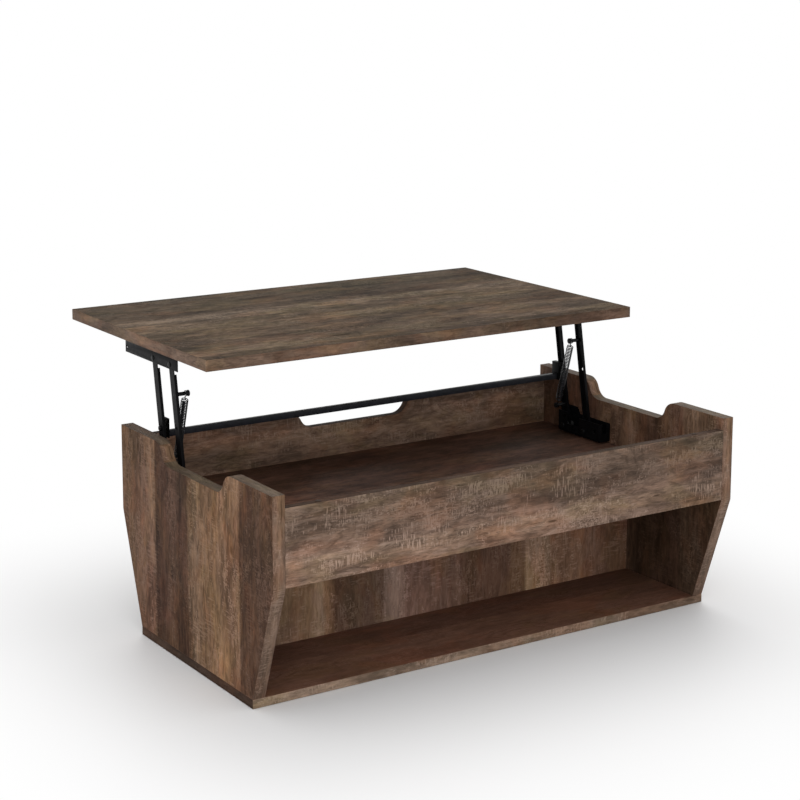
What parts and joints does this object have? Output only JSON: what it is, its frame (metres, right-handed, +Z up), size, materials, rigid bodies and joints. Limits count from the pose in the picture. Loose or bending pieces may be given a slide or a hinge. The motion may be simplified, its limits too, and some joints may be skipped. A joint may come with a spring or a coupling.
{
  "type": "lift top coffee table",
  "caption": "Lift top coffee table with trough-shaped end panels, a storage box under the lid and an open shelf; the lid rises towards the sitter on sprung parallel arms.",
  "frame": {"origin": "middle of the base board's underside, on the floor", "axes": "+X along the table's length, +Y towards the sitter's side, which the lid travels to as it rises, +Z up"},
  "size_m": [1.05, 0.8902, 0.5863],
  "materials": {
    "panel_laminate": "matt printed oak plank laminate",
    "apron_laminate": "matt printed oak plank laminate",
    "lid_laminate": "matt printed oak plank laminate, greyish dark brown",
    "dark_laminate": "matt dark brown laminate",
    "dowel_wood": "plain beech",
    "black_steel": "satin black powder coat",
    "black_screw": "black oxide, slightly glossy",
    "zinc_steel": "zinc plated",
    "spring_steel": "oiled steel wire",
    "nylon": "black nylon",
    "bumper_rubber": "soft black rubber"
  },
  "bodies": {
    "cabinet": {"base_board": "panel_laminate", "end_panel_left": "panel_laminate", "end_panel_right": "panel_laminate", "front_apron": "apron_laminate", "rear_apron": "apron_laminate", "box_floor": "dark_laminate", "shelf_divider": "panel_laminate", "base_screws": "zinc_steel", "cam_bolts": "zinc_steel", "cam_discs": "zinc_steel", "wood_dowels": "dowel_wood", "lid_bumpers": "bumper_rubber", "base_bracket_left": "black_steel", "base_bracket_right": "black_steel", "base_bracket_screws": "black_screw", "lower_pivot_rivets": "black_screw", "lower_pivot_spacers": "nylon"},
    "front_arms": {"front_arm_left": "black_steel", "front_arm_right": "black_steel", "spring_pins": "black_screw"},
    "rear_arms": {"rear_arm_left": "black_steel", "rear_arm_right": "black_steel", "spring_studs": "black_screw", "spring_stud_nuts": "black_screw", "crossbar": "black_steel", "crossbar_clip_left": "black_steel", "crossbar_clip_right": "black_steel", "clip_bolts": "black_screw", "clip_nuts": "black_screw"},
    "springs": {"spring_left": "spring_steel", "spring_right": "spring_steel"},
    "spring_hooks": {"spring_top_hook_left": "spring_steel", "spring_top_hook_right": "spring_steel"},
    "lid": {"lid_panel": "lid_laminate", "lid_bracket_left": "black_steel", "lid_bracket_right": "black_steel", "lid_bracket_screws": "black_screw", "upper_pivot_rivets": "black_screw", "upper_pivot_washers": "nylon"}
  },
  "joints": [
    {"name": "front_arms_hinge", "type": "hinge", "parent": "cabinet", "child": "front_arms", "pos_m": [0, 0.1085, 0.296], "axis": [1, 0, 0], "range_deg": [0, 83.7]},
    {"name": "rear_arms_hinge", "type": "hinge", "parent": "cabinet", "child": "rear_arms", "pos_m": [0, 0.1795, 0.296], "axis": [1, 0, 0], "range_deg": [0, 83.7]},
    {"name": "lid_hinge", "type": "hinge", "parent": "front_arms", "child": "lid", "pos_m": [0, 0.15295, 0.54811], "axis": [1, 0, 0], "range_deg": [-83.7, 0]},
    {"name": "spring_hinge", "type": "hinge", "parent": "rear_arms", "child": "springs", "pos_m": [0, 0.18731, 0.34032], "axis": [1, 0, 0], "range_deg": [-21.3, 0]},
    {"name": "spring_stretch", "type": "slide", "parent": "springs", "child": "spring_hooks", "axis": [0, -0.2828, 0.9592], "range_m": [0, 0.065], "deforming": ["spring_left", "spring_right", "spring_top_hook_left", "spring_top_hook_right"]}
  ],
  "couplings": [
    {"joint": "rear_arms_hinge", "follows": "front_arms_hinge", "ratio": 1},
    {"joint": "lid_hinge", "follows": "front_arms_hinge", "ratio": -1},
    {"joint": "spring_hinge", "follows": "front_arms_hinge", "ratio": -0.25425},
    {"joint": "spring_stretch", "follows": "front_arms_hinge", "m_per_rad": 0.044462}
  ]
}
